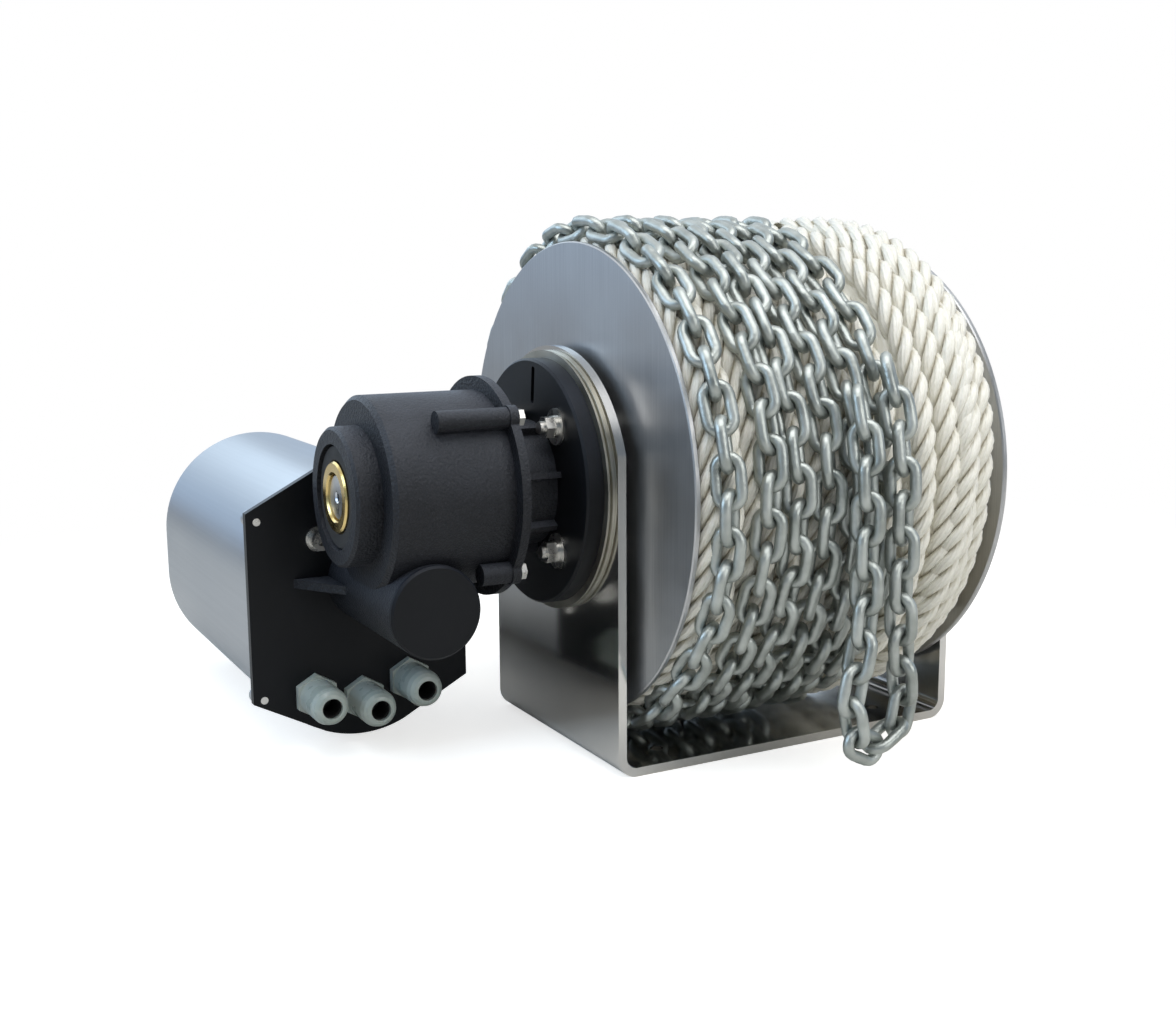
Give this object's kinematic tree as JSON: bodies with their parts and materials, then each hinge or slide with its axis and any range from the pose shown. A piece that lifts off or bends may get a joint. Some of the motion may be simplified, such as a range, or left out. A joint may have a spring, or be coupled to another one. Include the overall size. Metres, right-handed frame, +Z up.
{
  "type": "electric drum winch",
  "caption": "Horizontal electric drum winch for a deck: rope and chain wound on a flanged drum in a bent U frame, driven by a worm gearbox with a covered motor at one side.",
  "frame": {"origin": "middle of the bent frame's underside, at the centre of its four deck bolt holes", "axes": "+X along the drum axis away from the gearbox, +Y towards the motor (back), the slack bight of chain hangs at -Y, +Z up"},
  "size_m": [0.4865, 0.5258, 0.3645],
  "materials": {
    "polished_stainless": "polished",
    "satin_stainless": "satin",
    "black_paint": "satin",
    "bright_fasteners": "satin",
    "bearing_steel": "polished",
    "shaft_steel": "satin",
    "polished_brass": "polished",
    "wheel_bronze": "satin",
    "cover_aluminium": "satin",
    "gland_nylon": "matte",
    "black_rubber": "matte",
    "white_rope": "satin",
    "galvanised_chain": "matte",
    "ferrite": "matte",
    "laminated_iron": "matte",
    "copper": "satin",
    "moulded_plastic": "matte"
  },
  "bodies": {
    "frame": {"u_frame": "polished_stainless", "spacer_ring": "polished_stainless", "adapter_disc": "black_paint", "neck_collar": "black_paint", "side_bolts": "bright_fasteners", "flat_washers": "bright_fasteners", "spring_washers": "bright_fasteners", "side_nuts": "bright_fasteners", "left_bearing": "bearing_steel", "gearbox_housing": "black_paint", "gearbox_lid": "black_paint", "lid_bolts": "bright_fasteners", "worm_cap": "black_paint", "output_seal": "black_rubber", "front_gear_bearing": "bearing_steel", "rear_gear_bearing": "bearing_steel", "front_worm_bearing": "bearing_steel", "rear_worm_bearing": "bearing_steel", "motor_plate": "black_paint", "plate_screws": "bright_fasteners", "motor_bolts": "bright_fasteners", "motor_washers": "bright_fasteners", "motor_cover": "cover_aluminium", "motor_can": "black_paint", "field_magnets": "ferrite", "brush_ring": "moulded_plastic", "brushes": "moulded_plastic", "motor_end_bell": "black_paint", "motor_bearing": "bearing_steel", "gland_bodies": "gland_nylon", "gland_domes": "gland_nylon", "gland_seals": "black_rubber", "gland_nuts": "gland_nylon", "right_bearing_housing": "black_paint", "right_bearing": "bearing_steel", "housing_bolts": "bright_fasteners", "housing_nuts": "bright_fasteners", "chain_bight": "galvanised_chain"},
    "drum": {"drum_core": "satin_stainless", "left_flange": "satin_stainless", "right_flange": "satin_stainless", "drum_hubs": "satin_stainless", "drum_shaft": "shaft_steel", "shaft_key": "shaft_steel", "worm_wheel": "wheel_bronze", "brass_ring": "polished_brass", "rope_pack": "white_rope", "chain_turn_1": "galvanised_chain", "chain_turn_2": "galvanised_chain", "chain_turn_3": "galvanised_chain", "chain_turn_4": "galvanised_chain", "chain_turn_5": "galvanised_chain", "chain_turn_6": "galvanised_chain"},
    "rotor": {"worm_shaft": "shaft_steel", "armature": "laminated_iron", "commutator": "copper"}
  },
  "joints": [
    {"name": "drum_spin", "type": "hinge", "parent": "frame", "child": "drum", "pos_m": [0, 0, 0.186], "axis": [1, 0, 0], "continuous": true},
    {"name": "motor_spin", "type": "hinge", "parent": "frame", "child": "rotor", "pos_m": [-0.248, 0, 0.1175], "axis": [0, 1, 0], "continuous": true}
  ],
  "couplings": [
    {"joint": "motor_spin", "follows": "drum_spin", "ratio": 22}
  ]
}
